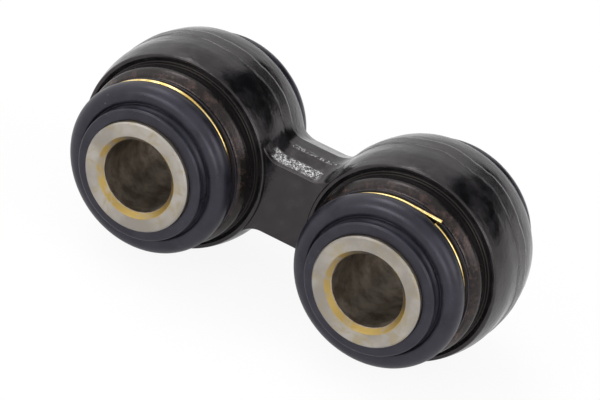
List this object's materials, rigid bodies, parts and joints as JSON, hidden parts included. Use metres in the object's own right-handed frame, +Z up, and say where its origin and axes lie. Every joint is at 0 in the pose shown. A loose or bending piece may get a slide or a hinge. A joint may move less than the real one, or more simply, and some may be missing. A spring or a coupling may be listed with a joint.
{
  "type": "stabilizer link",
  "caption": "Short forged double-eye link with a ball sleeve joint in each eye, rubber boots held by wire rings, and plain bolt bores.",
  "frame": {"origin": "midway between the two bolt bores, at half the length of the sleeves", "axes": "+X along the link from the left eye to the right eye, -Y along the bores towards the closing rings (the front), +Z up with the link lying on the crowns of its eyes"},
  "size_m": [0.0832, 0.0376, 0.038],
  "materials": {
    "forging": "gloss black coat over a forged skin",
    "ring": "gloss black coat, worn brown on the inner slope",
    "sleeve": "machined steel with yellowish oil stains",
    "shell": "moulded acetal",
    "boot": "matt blue-black moulded rubber",
    "wire": null,
    "lip_ring": "plain pressed steel"
  },
  "bodies": {
    "link": {"link_body": "forging", "left_closing_ring": "ring", "right_closing_ring": "ring", "left_front_bearing_shell": "shell", "left_back_bearing_shell": "shell", "right_front_bearing_shell": "shell", "right_back_bearing_shell": "shell", "left_front_boot": "boot", "left_back_boot": "boot", "right_front_boot": "boot", "right_back_boot": "boot", "left_front_wire_ring": "wire", "left_back_wire_ring": "wire", "right_front_wire_ring": "wire", "right_back_wire_ring": "wire"},
    "left_cradle": {"left_front_lip_ring": "lip_ring", "left_back_lip_ring": "lip_ring"},
    "left_sleeve": {"left_ball_sleeve": "sleeve"},
    "right_cradle": {"right_front_lip_ring": "lip_ring", "right_back_lip_ring": "lip_ring"},
    "right_sleeve": {"right_ball_sleeve": "sleeve"}
  },
  "joints": [
    {"name": "left_tilt", "type": "hinge", "parent": "link", "child": "left_cradle", "pos_m": [-0.0226, 0, 0], "axis": [0, 0, 1], "range_deg": [-10, 10], "deforming": ["left_front_boot", "left_back_boot"]},
    {"name": "left_spin", "type": "hinge", "parent": "left_cradle", "child": "left_sleeve", "pos_m": [-0.0226, 0, 0], "axis": [0, 1, 0], "continuous": true},
    {"name": "right_tilt", "type": "hinge", "parent": "link", "child": "right_cradle", "pos_m": [0.0226, 0, 0], "axis": [0, 0, 1], "range_deg": [-10, 10], "deforming": ["right_front_boot", "right_back_boot"]},
    {"name": "right_spin", "type": "hinge", "parent": "right_cradle", "child": "right_sleeve", "pos_m": [0.0226, 0, 0], "axis": [0, 1, 0], "continuous": true}
  ]
}
